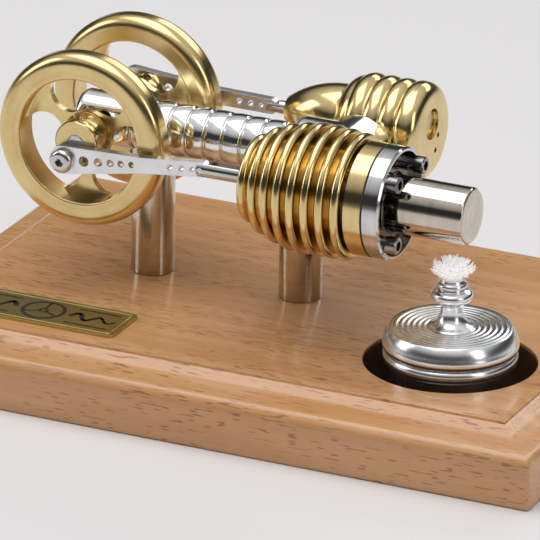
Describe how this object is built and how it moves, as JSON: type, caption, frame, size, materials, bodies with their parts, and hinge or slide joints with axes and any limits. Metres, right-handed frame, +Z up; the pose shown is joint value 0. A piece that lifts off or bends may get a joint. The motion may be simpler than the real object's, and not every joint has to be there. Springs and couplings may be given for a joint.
{
  "type": "model hot-air engine",
  "caption": "Twin-cylinder desk hot-air engine: finned brass cylinder and smaller power cylinder on one bar, brass flywheels on a crankshaft, spirit burner, moulded wooden board.",
  "frame": {"origin": "centre of the board's underside", "axes": "+X along the cylinders towards the heated end, +Y from the displacer cylinder to the power cylinder, +Z up"},
  "size_m": [0.2, 0.14, 0.0865],
  "materials": {
    "beech": "clear varnished beech with fine dark flecks",
    "brass": "turned and polished",
    "bronze": "plain bearing bronze",
    "aluminium": "turned and polished",
    "nickel": "polished nickel plate",
    "steel": "polished steel",
    "gasket": "dark sheet gasket",
    "cotton": "loose white cotton"
  },
  "bodies": {
    "frame": {"base_board": "beech", "nameplate": "brass", "crank_post": "nickel", "cylinder_post": "nickel", "post_screws": "steel", "spine_bar": "aluminium", "transfer_drum": "aluminium", "displacer_nipple": "aluminium", "power_nipple": "aluminium", "bearing_outer_rings": "steel", "bearing_balls": "steel", "displacer_cylinder": "brass", "displacer_rod_guide": "bronze", "cylinder_gasket": "gasket", "flange_ring": "steel", "hot_cap": "steel", "flange_sleeves": "steel", "flange_screws": "steel", "power_cylinder": "brass", "power_head": "brass", "power_head_plug": "aluminium"},
    "crank": {"crankshaft": "steel", "bearing_inner_rings": "steel", "shaft_sleeves": "steel", "front_flywheel": "brass", "rear_flywheel": "brass", "hub_grub_screws": "steel", "displacer_pin_washer": "steel", "displacer_crank_pin": "steel"},
    "displacer_link": {"displacer_conrod": "aluminium", "displacer_conrod_bush": "bronze", "displacer_wrist_pin_core": "steel"},
    "displacer_unit": {"displacer_rod": "steel", "displacer": "steel", "displacer_wrist_pin_ends": "steel"},
    "power_unit": {"power_rod": "steel", "power_piston": "aluminium", "power_wrist_pin": "steel"},
    "power_link": {"power_conrod": "aluminium", "power_conrod_bush": "bronze", "power_pin_washer": "steel", "power_crank_pin": "steel"},
    "burner": {"burner_tank": "aluminium"},
    "burner_top": {"burner_lid": "aluminium", "wick": "cotton"}
  },
  "joints": [
    {"name": "crank_turn", "type": "hinge", "parent": "frame", "child": "crank", "pos_m": [-0.057, 0.001, 0.0615], "axis": [0, 1, 0], "continuous": true},
    {"name": "displacer_link_turn", "type": "hinge", "parent": "crank", "child": "displacer_link", "pos_m": [-0.0595, -0.0235, 0.05717], "axis": [0, 1, 0], "continuous": true},
    {"name": "displacer_slide", "type": "slide", "parent": "frame", "child": "displacer_unit", "axis": [1, 0, 0], "range_m": [-0.00227, 0.00772]},
    {"name": "power_slide", "type": "slide", "parent": "frame", "child": "power_unit", "axis": [1, 0, 0], "range_m": [-0.00072, 0.00929]},
    {"name": "power_link_swing", "type": "hinge", "parent": "power_unit", "child": "power_link", "pos_m": [-0.01933, 0.0255, 0.0635], "axis": [0, 1, 0], "range_deg": [-10.27, 3.41]},
    {"name": "burner_lift", "type": "slide", "parent": "frame", "child": "burner", "axis": [0, 0, 1], "range_m": [0, 0.0025]},
    {"name": "burner_top_turn", "type": "hinge", "parent": "burner", "child": "burner_top", "pos_m": [0.057, -0.0235, 0.022], "axis": [0, 0, 1], "continuous": true}
  ],
  "couplings": [
    {"joint": "displacer_link_turn", "follows": "crank_turn", "ratio": -1}
  ]
}
